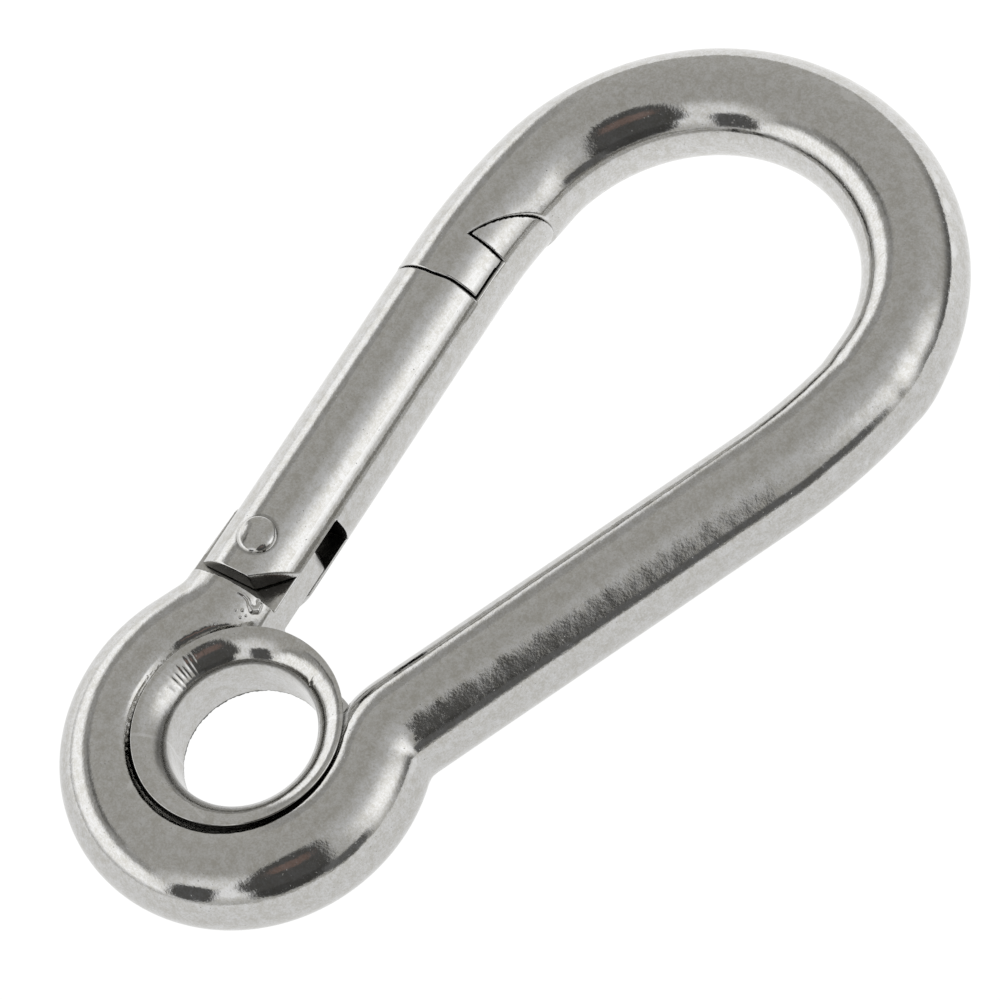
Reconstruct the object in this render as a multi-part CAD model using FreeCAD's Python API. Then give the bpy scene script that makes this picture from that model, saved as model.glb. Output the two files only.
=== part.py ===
import FreeCAD, Part
import os
from math import asin, atan2, cos, degrees, radians, sin, sqrt

from FreeCAD import Vector

# Spring snap hook bent from one round bar, with a sprung gate and a captive eyelet. Millimetres.
# The origin is the eyelet axis at mid thickness, +Y runs to the far bend, +X points to the solid
# side of the loop and +Z is square to it. The gate closes the -X side.

# Bar
BAR_R = 4.91
GATE_R = 4.87

# Gate axis: through the rivet, leaning toward -X
PIVOT_X, PIVOT_Y = -12.07, 14.40
GATE_LEAN = 12.93

# Bends of the bar centreline, in order from the nose to the spine
NOSE_BEND_R = 53.6
BEND_Y = 57.36
TOP_BEND_R = 20.51
CORNER_BEND_R = 18.2
CORNER_ANGLE = 55.6
SPINE_BEND_R = 51.9
SPINE_LEAN = 12.6

# Eye and the two necks that lead into it
EYE_R = 12.3
SPINE_NECK_R = 6.0
HINGE_NECK_R = 7.0

# Latch. Lengths along the gate are measured from the rivet axis, "in" is toward the loop.
SPLIT_R = 29.35
SPLIT_STEP = 0.3
SPLIT_STEP_IN = 2.2
BLADE_HALF = 2.3
BLADE_IN = 1.15
HOOK_R = 34.48
HEAD_MID = (2.95, 37.4)
HEAD_TIP = (6.6, 40.65)
LATCH_GAP = 0.2
SLOT_SIDE_GAP = 0.1

# Hinge: the gate ends in two cheeks that straddle a tongue cut on the bar
SHOULDER = -4.95
TONGUE_HALF = 1.75
TONGUE_IN = 4.3
TONGUE_OUT_R = 4.8
TONGUE_OUT_ANGLE = 150.0
SLOT_HALF = 1.9
SLOT_END_R = 5.0
SLOT_END_RISE = 0.075
CHEEK_END = -3.85
CHEEK_CHAMFER_IN = 1.5
CHEEK_CHAMFER = 2.75

# Cam on the tongue: the plunger face stands CAM_START + CAM_RATE * angle from the rivet axis
CAM_START = 3.1
CAM_RATE = 1.5
OPEN_ANGLE = 42.0
CAM_RUN_IN = 3.0
CAM_STEPS = 8

# Rivet
RIVET_R = 1.5
RIVET_RUN_GAP = 0.05
HEAD_R = 1.82
HEAD_FLOOR = 4.3
HEAD_EDGE = 4.98
HEAD_TOP = 5.5
HEAD_SEAT_GAP = 0.04

# Spring bore, plunger and spring
BORE_R = 1.9
BORE_BOTTOM = 21.0
PLUNGER_R = 1.8
PLUNGER_LENGTH = 5.2
PLUNGER_CHAMFER = 0.2
PLUNGER_GAP = 0.03
SPIGOT_R = 0.95
SPIGOT_LENGTH = 2.0
WIRE_R = 0.28
COIL_R = 1.42
SPRING_PITCH = 1.1
SPRING_END_GAP = 0.02

# Eyelet, turned about the Z axis: radius, half height and wall
EYELET_BORE_R = 6.72
TUBE_R = 7.27
FLANGE_R = 9.72
FLARE_START = 2.42
FLANGE_TOP = 4.6
FLANGE_LIP = 0.42
FLANGE_GAP = 0.07
SEAM_Z = -2.4
SEAM_BEVEL = 0.12
REAR_FLARE_START = 3.0


def hinge(across, along, z=0.0):
    """A point given from the rivet axis: across the gate toward the loop, and along the gate."""
    lean = radians(GATE_LEAN)
    x = PIVOT_X + across * cos(lean) - along * sin(lean)
    y = PIVOT_Y + across * sin(lean) + along * cos(lean)
    return Vector(x, y, z)


GATE_WAY = hinge(0, 1) - hinge(0, 0)
INWARD = hinge(1, 0) - hinge(0, 0)
UP = Vector(0, 0, 1)


def polar(centre, radius, angle):
    """The point at this radius and angle, in degrees, about a centre."""
    turn = radians(angle)
    return centre + Vector(radius * cos(turn), radius * sin(turn), 0)


def rod(start, end, radius):
    """A straight length of round bar."""
    way = end - start
    return Part.makeCylinder(radius, way.Length, start, way)


def elbow(centre, bend_radius, angle_from, angle_to, radius):
    """A bent length of round bar."""
    start = polar(centre, bend_radius, angle_from)
    way = polar(Vector(), 1, angle_from + 90)
    disc = Part.Face(Part.Wire(Part.makeCircle(radius, start, way)))
    return disc.revolve(centre, UP, angle_to - angle_from)


def prism(half_width, start, *steps):
    """A closed outline in hinge coordinates, extruded to both sides of the loop plane. A step is one
    point for a straight edge, two for an arc through the first, and more for a smooth curve."""
    edges = []
    here = hinge(*start)
    for step in steps + ([start],):
        points = [hinge(*point) for point in step]
        if len(points) == 1:
            edge = Part.LineSegment(here, points[0]).toShape()
        elif len(points) == 2:
            edge = Part.Arc(here, points[0], points[1]).toShape()
        else:
            curve = Part.BSplineCurve()
            curve.interpolate([here] + points)
            edge = curve.toShape()
        edges.append(edge)
        here = points[-1]
    face = Part.Face(Part.Wire(edges))
    face.translate(Vector(0, 0, -half_width))
    return face.extrude(Vector(0, 0, 2 * half_width))


def on_arc(radius, across):
    """The point on a circle about the rivet axis at this distance across, on the gate side."""
    return (across, sqrt(radius * radius - across * across))


def joined(solids):
    """One solid from pieces that share end faces."""
    return solids[0].fuse(solids[1:]).removeSplitter()


def neck_centre(on_line, way, side, bend_radius):
    """Centre of a bend that leaves a straight bar on one side and meets the eye from outside."""
    base = on_line + side * bend_radius
    reach = EYE_R + bend_radius
    half = base.dot(way)
    root = sqrt(half * half - base.dot(base) + reach * reach)
    return base + way * (root - half)


def nose_centre():
    """Centre of the long bend that carries the nose round from the gate axis."""
    lean = radians(GATE_LEAN)
    along = (BEND_Y - PIVOT_Y - NOSE_BEND_R * sin(lean)) / cos(lean)
    return hinge(NOSE_BEND_R, along), along


def bar_of_body():
    """The whole bent bar, from the latch split round the far bend, spine and eye to the tongue."""
    bend_a, along_a = nose_centre()
    bend_b = Vector(bend_a.x - NOSE_BEND_R + TOP_BEND_R, BEND_Y, 0)
    bend_c = polar(bend_b, TOP_BEND_R - CORNER_BEND_R, CORNER_ANGLE)
    bend_d = Vector(bend_c.x + CORNER_BEND_R - SPINE_BEND_R, bend_c.y, 0)
    spine_top = polar(bend_d, SPINE_BEND_R, -SPINE_LEAN)
    right = polar(Vector(), 1, -SPINE_LEAN)
    down = polar(Vector(), 1, -SPINE_LEAN - 90)
    spine_neck = neck_centre(spine_top, -down, right, SPINE_NECK_R)
    hinge_neck = neck_centre(hinge(0, 0), GATE_WAY, -INWARD, HINGE_NECK_R)
    eye_start = degrees(atan2(spine_neck.y, spine_neck.x))
    eye_end = degrees(atan2(hinge_neck.y, hinge_neck.x))
    stub = hinge_neck + INWARD * HINGE_NECK_R
    return joined([
        rod(hinge(0, SPLIT_R - 2), hinge(0, along_a), BAR_R),
        elbow(bend_a, NOSE_BEND_R, 180 + GATE_LEAN, 180, BAR_R),
        elbow(bend_b, TOP_BEND_R, 180, CORNER_ANGLE, BAR_R),
        elbow(bend_c, CORNER_BEND_R, CORNER_ANGLE, 0, BAR_R),
        elbow(bend_d, SPINE_BEND_R, 0, -SPINE_LEAN, BAR_R),
        rod(spine_top, spine_neck - right * SPINE_NECK_R, BAR_R),
        elbow(spine_neck, SPINE_NECK_R, 180 - SPINE_LEAN, 180 + eye_start, BAR_R),
        elbow(Vector(), EYE_R, eye_start, eye_end - 360, BAR_R),
        elbow(hinge_neck, HINGE_NECK_R, eye_end - 180, GATE_LEAN, BAR_R),
        rod(stub, hinge(0, BAR_R), BAR_R),
    ])


def below_split(half_width, gap, floor):
    """Everything on the rivet side of the joint between gate and nose. The joint is an arc about the
    rivet on the outside and rises a little toward the loop."""
    radius = SPLIT_R + gap
    high = radius + SPLIT_STEP
    far = 7
    arc = [on_arc(radius, -far / 2), (0, radius)]
    return prism(half_width, (-far, floor), [on_arc(radius, -far)], arc, [(SPLIT_STEP_IN, high)], [(far, high)],
                 [(far, floor)])


def latch_head(gap):
    """The hooked head of the gate, grown by a gap on the faces that meet the nose. Its underside is
    an arc about the rivet, so it swings clear of the claws."""
    point = on_arc(HOOK_R - gap, BLADE_IN - gap)
    slide = gap * 1.6
    middle = (HEAD_MID[0] - slide, HEAD_MID[1])
    tip = (HEAD_TIP[0] - slide, HEAD_TIP[1])
    end = on_arc(HOOK_R - gap, HEAD_TIP[0] + 1)
    half = on_arc(HOOK_R - gap, HEAD_TIP[0] / 2)
    return prism(6, end, [half, point], [middle, tip], [(end[0], tip[1])])


def latch_blade(gap, side_gap):
    """The flat web that joins the round gate to its head, grown by gaps for the slot it enters."""
    low = SPLIT_R - 2
    side = BLADE_IN - gap
    return prism(BLADE_HALF + side_gap, (side, low), [on_arc(HOOK_R - gap, side)], [(7, HOOK_R)], [(7, low)])


def cam_points():
    """Points of the tongue cam, for a flat face that rises in proportion to the gate angle."""
    points = []
    span = OPEN_ANGLE + 2 * CAM_RUN_IN
    for step in range(CAM_STEPS + 1):
        angle = radians(span * step / CAM_STEPS - CAM_RUN_IN)
        reach = CAM_START + CAM_RATE * angle
        across = reach * sin(angle) + CAM_RATE * cos(angle)
        along = reach * cos(angle) - CAM_RATE * sin(angle)
        points.append((across, along))
    return points


def tongue_outline(half_width):
    """The flat tongue: rounded outer corner, cam on top, flat inner face."""
    corner = radians(TONGUE_OUT_ANGLE)
    middle = (corner + radians(180)) / 2
    top = (TONGUE_OUT_R * cos(corner), TONGUE_OUT_R * sin(corner))
    rounding = (TONGUE_OUT_R * cos(middle), TONGUE_OUT_R * sin(middle))
    cam = cam_points()
    low = SHOULDER - 1
    return prism(half_width, (-6, low), [(-6, 0)], [(-TONGUE_OUT_R, 0)], [rounding, top], [cam[0]], cam[1:],
                 [(TONGUE_IN, cam[-1][1] - 0.5)], [(TONGUE_IN, low)])


def hook_body():
    """Bar with the forked nose, the tongue, its shoulder and the rivet hole."""
    bar = bar_of_body()
    tongue_zone = prism(6, (-6, SHOULDER), [(-6, 7)], [(6, 7)], [(6, SHOULDER)])
    tongue = bar.common(tongue_zone).common(tongue_outline(TONGUE_HALF))
    inner_flat = prism(6, (TONGUE_IN, -9.5), [(TONGUE_IN, 6)], [(8, 6)], [(8, -9.5)])
    body = bar.cut([tongue_zone, inner_flat])
    body = body.cut([
        below_split(6, LATCH_GAP, SPLIT_R - 4),
        latch_blade(LATCH_GAP, SLOT_SIDE_GAP),
        latch_head(LATCH_GAP),
    ])
    hole_r = RIVET_R + RIVET_RUN_GAP
    hole = Part.makeCylinder(hole_r, 12, hinge(0, 0, -6), UP)
    return body.fuse(tongue.cut(hole)).removeSplitter()


def gate_bar():
    """Full round stock of the gate, bent at its head like the nose it closes on."""
    bend, along = nose_centre()
    stock = [
        rod(hinge(0, CHEEK_END - 1), hinge(0, along), GATE_R),
        elbow(bend, NOSE_BEND_R, 180 + GATE_LEAN, 180, GATE_R),
    ]
    return joined(stock)


def cheek_end():
    """Cuts the ends of the cheeks square, with a chamfer toward the loop."""
    high = CHEEK_END + CHEEK_CHAMFER
    return prism(6, (-7, CHEEK_END), [(CHEEK_CHAMFER_IN, CHEEK_END)], [(CHEEK_CHAMFER_IN + CHEEK_CHAMFER, high)],
                 [(7, high + 4)], [(7, -9)], [(-7, -9)])


def hinge_slot():
    """The slot between the cheeks, ending in an arc about the rivet."""
    side = SLOT_END_R * sin(radians(45))
    far = 7
    return prism(SLOT_HALF, (-far, -9), [(-far, 0)], [(-SLOT_END_R, 0)], [(-side, side), (0, SLOT_END_R)],
                 [(far, SLOT_END_R + far * SLOT_END_RISE)], [(far, -9)])


def gate():
    """Round gate with cheeks and slot at the rivet, spring bore, and blade and head at the latch."""
    stock = gate_bar()
    lower = stock.common(below_split(6, 0, CHEEK_END - 2))
    upper = stock.common(latch_blade(0, 0).fuse(latch_head(0)))
    bore = Part.makeCylinder(BORE_R, BORE_BOTTOM, hinge(0, 0), GATE_WAY)
    point = Part.makeCone(BORE_R, 0, BORE_R * 0.6, hinge(0, BORE_BOTTOM), GATE_WAY)
    hole = Part.makeCylinder(RIVET_R, 12, hinge(0, 0, -6), UP)
    seat_r = HEAD_R + HEAD_SEAT_GAP
    seats = [
        Part.makeCylinder(seat_r, 2, hinge(0, 0, HEAD_FLOOR), UP),
        Part.makeCylinder(seat_r, 2, hinge(0, 0, -HEAD_FLOOR), -UP),
    ]
    whole = lower.fuse(upper).removeSplitter()
    return whole.cut([cheek_end(), hinge_slot(), bore, point, hole] + seats)


def turned(points, axis_start, axis_way):
    """A solid of revolution from (radius, distance) pairs. Three points in a list make an arc."""
    side = axis_way.cross(UP) if abs(axis_way.dot(UP)) < 0.5 else Vector(1, 0, 0)
    place = [[axis_start + side * r + axis_way * h for r, h in (step if isinstance(step, list) else [step])]
             for step in points]
    edges = []
    here = place[0][0]
    for step in place[1:] + place[:1]:
        if len(step) == 1:
            edges.append(Part.LineSegment(here, step[0]).toShape())
        else:
            edges.append(Part.Arc(here, step[0], step[1]).toShape())
        here = step[-1]
    return Part.Face(Part.Wire(edges)).revolve(axis_start, axis_way, 360)


def hinge_rivet():
    """Pin through cheeks and tongue with a domed head seated in each cheek."""
    bulge = HEAD_TOP - HEAD_EDGE
    dome_r = (HEAD_R ** 2 + bulge ** 2) / (2 * bulge)
    half_angle = asin(HEAD_R / dome_r) / 2
    middle = (dome_r * sin(half_angle), HEAD_TOP - dome_r * (1 - cos(half_angle)))
    half = [
        (0, 0),
        (RIVET_R, 0),
        (RIVET_R, HEAD_FLOOR),
        (HEAD_R, HEAD_FLOOR),
        (HEAD_R, HEAD_EDGE),
        [middle, (0, HEAD_TOP)],
    ]
    front = turned(half, hinge(0, 0), UP)
    return front.fuse(turned(half, hinge(0, 0), -UP)).removeSplitter()


def plunger_base():
    """Distance from the rivet axis to the plunger face with the gate shut."""
    return CAM_START + PLUNGER_GAP


def spring_plunger():
    """Flat-faced pin that the spring holds against the cam, with a spigot inside the coil."""
    inset = PLUNGER_R - PLUNGER_CHAMFER
    shape = [
        (0, 0),
        (inset, 0),
        (PLUNGER_R, PLUNGER_CHAMFER),
        (PLUNGER_R, PLUNGER_LENGTH),
        (SPIGOT_R, PLUNGER_LENGTH),
        (SPIGOT_R, PLUNGER_LENGTH + SPIGOT_LENGTH),
        (0, PLUNGER_LENGTH + SPIGOT_LENGTH),
    ]
    return turned(shape, hinge(0, plunger_base()), GATE_WAY)


def gate_spring():
    """Compression spring between the plunger shoulder and the bottom of the bore."""
    low = plunger_base() + PLUNGER_LENGTH + WIRE_R + SPRING_END_GAP
    high = BORE_BOTTOM - WIRE_R - SPRING_END_GAP
    path = Part.makeHelix(SPRING_PITCH, high - low, COIL_R)
    section = Part.Wire(Part.makeCircle(WIRE_R, Vector(COIL_R, 0, 0), Vector(0, 1, 0)))
    coil = Part.Wire(path).makePipeShell([section], True, True)
    turn = FreeCAD.Rotation(UP, GATE_WAY)
    coil.Placement = FreeCAD.Placement(hinge(0, low), turn)
    return coil


def flange_underside(radius):
    """Height of the flange underside: it follows the round of the eye with a small gap."""
    reach = BAR_R + FLANGE_GAP
    return sqrt(reach * reach - (EYE_R - radius) ** 2)


def flange(flare_start, bottom, bevel):
    """One flanged ring of the eyelet as a revolve outline, flange up."""
    flare_r = FLANGE_TOP - flare_start
    flare = sin(radians(45)) * flare_r
    mouth_r = EYELET_BORE_R + flare_r
    reach = BAR_R + FLANGE_GAP
    foot_h = sqrt(reach * reach - (EYE_R - TUBE_R) ** 2) if reach > EYE_R - TUBE_R else 0.0
    mid_r = (TUBE_R + FLANGE_R) / 2
    return [
        (EYELET_BORE_R + bevel, bottom),
        (EYELET_BORE_R, bottom + bevel),
        (EYELET_BORE_R, flare_start),
        [(mouth_r - flare, flare_start + flare), (mouth_r, FLANGE_TOP)],
        (FLANGE_R, FLANGE_TOP),
        (FLANGE_R, flange_underside(FLANGE_R)),
        [(mid_r, flange_underside(mid_r)), (TUBE_R, foot_h)],
        (TUBE_R, bottom),
    ]


def eyelet_front():
    """Flanged sleeve seen from +Z. Its tube reaches through the eye."""
    return turned(flange(FLARE_START, SEAM_Z, SEAM_BEVEL), Vector(), UP)


def eyelet_back():
    """Flanged ring that closes the sleeve from -Z."""
    return turned(flange(REAR_FLARE_START, -SEAM_Z, SEAM_BEVEL), Vector(), -UP)


NODES = {
    "hook_body": hook_body,
    "gate": gate,
    "hinge_rivet": hinge_rivet,
    "gate_spring": gate_spring,
    "spring_plunger": spring_plunger,
    "eyelet_front": eyelet_front,
    "eyelet_back": eyelet_back,
}

os.makedirs("parts", exist_ok=True)
for name, build in NODES.items():
    shape = build()
    shape.exportStep("parts/" + name + ".step")
    box = shape.BoundBox
    print(name, len(shape.Solids), "solid", round(shape.Volume, 1), "mm3", shape.isValid(),
          [round(v, 2) for v in (box.XMin, box.YMin, box.ZMin, box.XMax, box.YMax, box.ZMax)])
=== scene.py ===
from math import atan2, cos, degrees, hypot, pi, radians, sin, sqrt

import bpy
import numpy as np
from mathutils import Matrix, Vector


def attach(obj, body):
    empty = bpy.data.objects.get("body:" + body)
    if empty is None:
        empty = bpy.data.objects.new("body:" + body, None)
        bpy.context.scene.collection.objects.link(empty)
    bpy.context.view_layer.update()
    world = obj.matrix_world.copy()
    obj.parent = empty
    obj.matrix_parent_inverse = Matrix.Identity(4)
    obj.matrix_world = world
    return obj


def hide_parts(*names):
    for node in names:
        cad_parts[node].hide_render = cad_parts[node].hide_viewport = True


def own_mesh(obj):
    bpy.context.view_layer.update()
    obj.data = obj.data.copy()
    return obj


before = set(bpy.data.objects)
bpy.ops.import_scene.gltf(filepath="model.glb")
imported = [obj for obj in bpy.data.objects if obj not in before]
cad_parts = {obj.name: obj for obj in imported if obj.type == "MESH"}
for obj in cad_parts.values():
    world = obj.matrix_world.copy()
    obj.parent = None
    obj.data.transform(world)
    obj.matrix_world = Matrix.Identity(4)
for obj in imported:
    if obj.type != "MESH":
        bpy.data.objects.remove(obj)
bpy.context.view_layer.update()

# Lengths here are millimetres, as in the CAD. Meshes are scaled to metres when they are made.
# "across" and "along" are hinge coordinates: from the rivet axis toward the loop, and up the gate.
MM = 0.001

# Bar and its bends
BAR_R = 4.91
GATE_R = 4.87
PIVOT = (-12.07, 14.40)
GATE_LEAN = 12.93
NOSE_BEND_R = 53.6
BEND_Y = 57.36
TOP_BEND_R = 20.51
CORNER_BEND_R = 18.2
CORNER_ANGLE = 55.6
SPINE_BEND_R = 51.9
SPINE_LEAN = 12.6
EYE_R = 12.3
SPINE_NECK_R = 6.0
HINGE_NECK_R = 7.0

# Latch between gate and nose
SPLIT_R = 29.35
SPLIT_STEP = 0.3
SPLIT_STEP_IN = 2.2
BLADE_HALF = 2.3
BLADE_IN = 1.15
HOOK_R = 34.48
HEAD_MID = (2.95, 37.4)
HEAD_TIP = (6.6, 40.65)
LATCH_GAP = 0.2
SLOT_SIDE_GAP = 0.14
BLADE_RELIEF = 0.08
TIP_ROUND = 0.12
TIP_CLOSE = 0.1
LIP_RISE = 0.12
# How far the pocket for the head slides outward, as a share of the gap.
HEAD_GAP_SHARE = 0.8
HEAD_CORNER_R = 0.06
NOSE_CORNER_R = 0.14
CLAW_CORNER_R = 0.1
# Cuts at the hinge and the latch stay this near the gate's line, so that they miss the spine.
CUT_HALF = 7
CUT_FAR = 8
# The nose's cut reaches this far below the joint, and the latch's grime starts this far up the gate.
SPLIT_CUT_DEPTH = 12
LATCH_START = 20

# Hinge: the body's tongue between the gate's cheeks
SHOULDER = -4.95
SHOULDER_SWELL = 0.34
TONGUE_HALF = 1.75
TONGUE_BACK = 4.89
TONGUE_BACK_SLOPE = 0.035
TONGUE_CORNER_R = 5.3
TONGUE_IN = 4.3
TONGUE_OUT_R = 4.8
TONGUE_OUT_ANGLE = 150.0
SLOT_HALF = 1.9
SLOT_END_R = 5.0
SLOT_END_RISE = 0.075
CHEEK_END = -3.85
CHEEK_CHAMFER_IN = 1.5
CHEEK_CHAMFER = 2.75
CAM_START = 3.1
CAM_RATE = 1.5
SHOULDER_CORNER_R = 0.12
SHOULDER_CUT_TOP = 12
TONGUE_EDGE_R = 0.1
TONGUE_ROOT_R = 0.15
SLOT_CORNER_R = 0.1
SPLIT_CORNER_R = 0.16
CHEEK_CORNER_R = 0.1
RIVET_RUN_GAP = 0.05

# Rivet, spring and plunger
RIVET_R = 1.5
HEAD_R = 1.93
HEAD_FLOOR = 4.3
HEAD_TOP = 5.5
HEAD_CROWN_R = 1.2
HEAD_CROWN_ANGLE = 22
BORE_R = 1.9
BORE_BOTTOM = 21.0
SPRING_FOOT = 8.33
WIRE_R = 0.28
COIL_R = 1.42
SPRING_PITCH = 1.1

# Eyelet. The front half sits a little off the sleeve's centre and tips slightly.
FLANGE_R = 9.72
FLANGE_TOP = 4.6
FRONT_CENTRE = (0.15, 0.19)
FRONT_AXIS = (0.0, 0.01, 1.0)
FRONT_R = 9.75
FRONT_BORE_R = 6.82
FRONT_FOOT = -2.65
SHEET = 0.26
LIP_TOP = 4.64
BACK_BORE_R = 7.1
BACK_FOOT = 2.0
# The body is dished under the flanges: depth, and the radii between which the dish fades out.
FLANGE_DISH = 0.14
DISH_EDGE = (9.9, 10.4)
# Painted shadow under the front flange: centre, radius and softness.
FLANGE_SHADE = (0.35, 0.0, 9.72, 0.4)
# How a flange turns into its bore: length from the lip and tilt there, in degrees.
FLARE = [
    (0, 4), (0.25, 13), (0.57, 22), (1.01, 27.5), (1.6, 36), (2.11, 43), (2.7, 52), (3.02, 60), (3.39, 72),
    (3.92, 84), (4.5, 90),
]
# Hammer marks on the front flange: azimuth, radius, half width, half length and depth.
DENTS = [
    (184, 8.0, 0.14, 0.6, 0.05), (180.5, 7.9, 0.1, 0.7, 0.04), (177, 8.1, 0.12, 0.6, 0.05),
    (174.5, 7.8, 0.09, 0.5, 0.03), (171, 8.2, 0.12, 0.6, 0.05), (168, 8.0, 0.09, 0.5, 0.03),
    (164.5, 8.3, 0.1, 0.5, 0.02), (158, 8.4, 0.08, 0.4, 0.012), (190, 7.9, 0.25, 0.35, 0.05),
    (196, 8.2, 0.2, 0.3, 0.03), (79, 7.9, 0.12, 0.4, 0.05), (77, 7.5, 0.15, 0.2, 0.06),
    (74, 8.1, 0.1, 0.3, 0.03),
]

# A weld spatter bead on the neck, and loose drops by it: across, along, height and radius.
# The patch of skin that carries it stands SCAR_LIFT above the bar and reaches SCAR_SKIN round it.
SCAR = [
    (1.55, -5.5, 4.62, 0.08), (2.1, -5.45, 4.38, 0.12), (2.6, -5.62, 4.12, 0.13), (2.9, -5.95, 3.9, 0.17),
    (3.25, -6.12, 3.6, 0.3), (3.5, -5.85, 3.4, 0.34), (3.5, -5.4, 3.42, 0.24), (3.25, -5.2, 3.66, 0.12),
]
SPATTER = [
    (2.65, -6.67, 4.07, 0.09), (2.8, -7.3, 3.91, 0.08), (2.2, -7.0, 4.33, 0.06), (3.1, -6.9, 3.75, 0.05),
]
SCAR_JOIN_R = 0.12
SCAR_SKIN = 0.14
SCAR_LIFT = 0.004


# ---- Round bar and cut shapes as distance fields: negative inside, positive outside

def to_row(across, along):
    """Hinge coordinates to the row frame's X and Y."""
    lean = radians(GATE_LEAN)
    x = PIVOT[0] + across * cos(lean) - along * sin(lean)
    y = PIVOT[1] + across * sin(lean) + along * cos(lean)
    return x, y


def polar(centre, radius, angle):
    """The point at this radius and angle, in degrees, about a centre."""
    return np.array(centre) + radius * np.array([cos(radians(angle)), sin(radians(angle))])


def neck_centre(on_line, way, side, bend_radius):
    """Centre of a bend that leaves a straight bar on one side and meets the eye from outside."""
    base = on_line + side * bend_radius
    reach = EYE_R + bend_radius
    half = base @ way
    return base + way * (sqrt(half * half - base @ base + reach * reach) - half)


def bar_path():
    """The bar centreline as lines (start, end) and arcs (centre, radius, from, to)."""
    gate_way = polar((0, 0), 1, 90 + GATE_LEAN)
    inward = polar((0, 0), 1, GATE_LEAN)
    pivot = np.array(PIVOT)
    lean = radians(GATE_LEAN)
    along_a = (BEND_Y - PIVOT[1] - NOSE_BEND_R * sin(lean)) / cos(lean)
    bend_a = pivot + inward * NOSE_BEND_R + gate_way * along_a
    bend_b = bend_a + np.array([TOP_BEND_R - NOSE_BEND_R, 0])
    bend_c = polar(bend_b, TOP_BEND_R - CORNER_BEND_R, CORNER_ANGLE)
    bend_d = bend_c + np.array([CORNER_BEND_R - SPINE_BEND_R, 0])
    spine_top = polar(bend_d, SPINE_BEND_R, -SPINE_LEAN)
    right = polar((0, 0), 1, -SPINE_LEAN)
    spine_way = polar((0, 0), 1, 90 - SPINE_LEAN)
    spine_neck = neck_centre(spine_top, spine_way, right, SPINE_NECK_R)
    hinge_neck = neck_centre(pivot, gate_way, -inward, HINGE_NECK_R)
    eye_start = degrees(atan2(spine_neck[1], spine_neck[0]))
    eye_end = degrees(atan2(hinge_neck[1], hinge_neck[0]))
    stub = hinge_neck + inward * HINGE_NECK_R
    nose = [
        ("line", pivot + gate_way * (SPLIT_R - 2), pivot + gate_way * along_a),
        ("arc", bend_a, NOSE_BEND_R, 180 + GATE_LEAN, 180),
    ]
    rest = [
        ("arc", bend_b, TOP_BEND_R, 180, CORNER_ANGLE),
        ("arc", bend_c, CORNER_BEND_R, CORNER_ANGLE, 0),
        ("arc", bend_d, SPINE_BEND_R, 0, -SPINE_LEAN),
        ("line", spine_top, spine_neck - right * SPINE_NECK_R),
        ("arc", spine_neck, SPINE_NECK_R, 180 - SPINE_LEAN, 180 + eye_start),
        ("arc", np.zeros(2), EYE_R, eye_start, eye_end - 360),
        ("arc", hinge_neck, HINGE_NECK_R, eye_end - 180, GATE_LEAN),
        ("line", stub, pivot + gate_way * BAR_R),
    ]
    gate_line = ("line", pivot + gate_way * (CHEEK_END - 1), pivot + gate_way * along_a)
    return nose + rest, [gate_line, nose[1]]


BODY_PATH, GATE_PATH = bar_path()


def path_distance(path, x, y):
    """Distance in the loop plane from points to a centreline."""
    best = np.full(np.broadcast(x, y).shape, 1e9)
    for piece in path:
        if piece[0] == "line":
            start, end = piece[1:]
            length = hypot(*(end - start))
            way = (end - start) / length
            run = np.clip((x - start[0]) * way[0] + (y - start[1]) * way[1], 0, length)
            gap = np.hypot(x - start[0] - run * way[0], y - start[1] - run * way[1])
        else:
            centre, radius, angle_from, angle_to = piece[1:]
            dx, dy = x - centre[0], y - centre[1]
            turn = np.degrees(np.arctan2(dy, dx))
            sweep = angle_to - angle_from
            into = (turn - angle_from if sweep > 0 else angle_from - turn) % 360
            ends = [polar(centre, radius, a) for a in (angle_from, angle_to)]
            end_gap = np.minimum(*[np.hypot(x - e[0], y - e[1]) for e in ends])
            gap = np.where(into <= abs(sweep), np.abs(np.hypot(dx, dy) - radius), end_gap)
        best = np.minimum(best, gap)
    return best


def both(a, b, fillet=0.0):
    """Where two fields overlap, with the outer edge rounded."""
    if np.isscalar(fillet) and not fillet:
        return np.maximum(a, b)
    ra, rb = np.maximum(a + fillet, 0), np.maximum(b + fillet, 0)
    return np.minimum(np.maximum(a + fillet, b + fillet), 0) - fillet + np.hypot(ra, rb)


def either(a, b, fillet=0.0):
    """Where either field is, with the inner corner rounded."""
    return -both(-a, -b, fillet)


def without(a, b, fillet=0.0):
    """The first field with the second cut away."""
    return both(a, -b, fillet)


def box_field(value, low, high):
    """Between two planes."""
    return np.maximum(low - value, value - high)


def circle_through(a, b, c):
    """Centre and radius of the circle through three points."""
    a, b, c = (np.array(p, float) for p in (a, b, c))
    rows = 2 * np.array([b - a, c - a])
    centre = np.linalg.solve(rows, [b @ b - a @ a, c @ c - a @ a])
    return centre, hypot(*(a - centre))


def split_field(across, along, gap):
    """Below the joint between gate and nose."""
    rise = np.clip(across / SPLIT_STEP_IN, 0, 1)
    high = SPLIT_R + gap + SPLIT_STEP * rise * rise * (3 - 2 * rise)
    return np.where(across < 0, np.hypot(across, along) - SPLIT_R - gap, along - high)


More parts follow.
